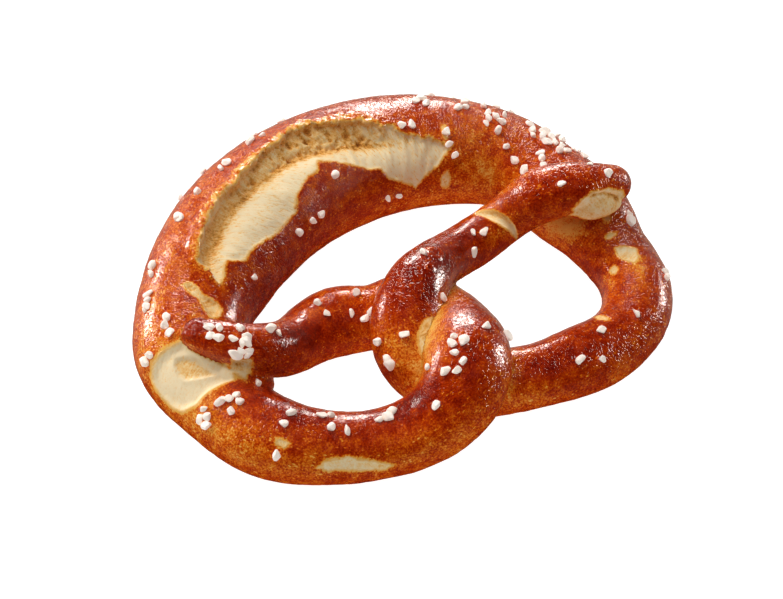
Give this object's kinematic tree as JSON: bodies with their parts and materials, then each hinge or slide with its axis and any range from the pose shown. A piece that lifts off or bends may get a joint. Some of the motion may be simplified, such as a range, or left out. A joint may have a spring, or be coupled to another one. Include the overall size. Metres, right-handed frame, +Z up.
{
  "type": "soft pretzel",
  "caption": "Baked lye pretzel: a rope of dough, thick at the belly and thin at the arms, twisted twice, with a burst along the belly and a flat underside.",
  "frame": {"origin": "centre of the overall box in plan, on the flat underside", "axes": "+Z up from the tray; +X across the pretzel's width, from the arm end that lies lower to the one that lies higher; +Y from the twist's bend to the thick belly"},
  "size_m": [0.1686, 0.1412, 0.0394],
  "materials": {
    "crust": null
  },
  "bodies": {
    "root": {"pretzel": "crust"}
  },
  "joints": []
}
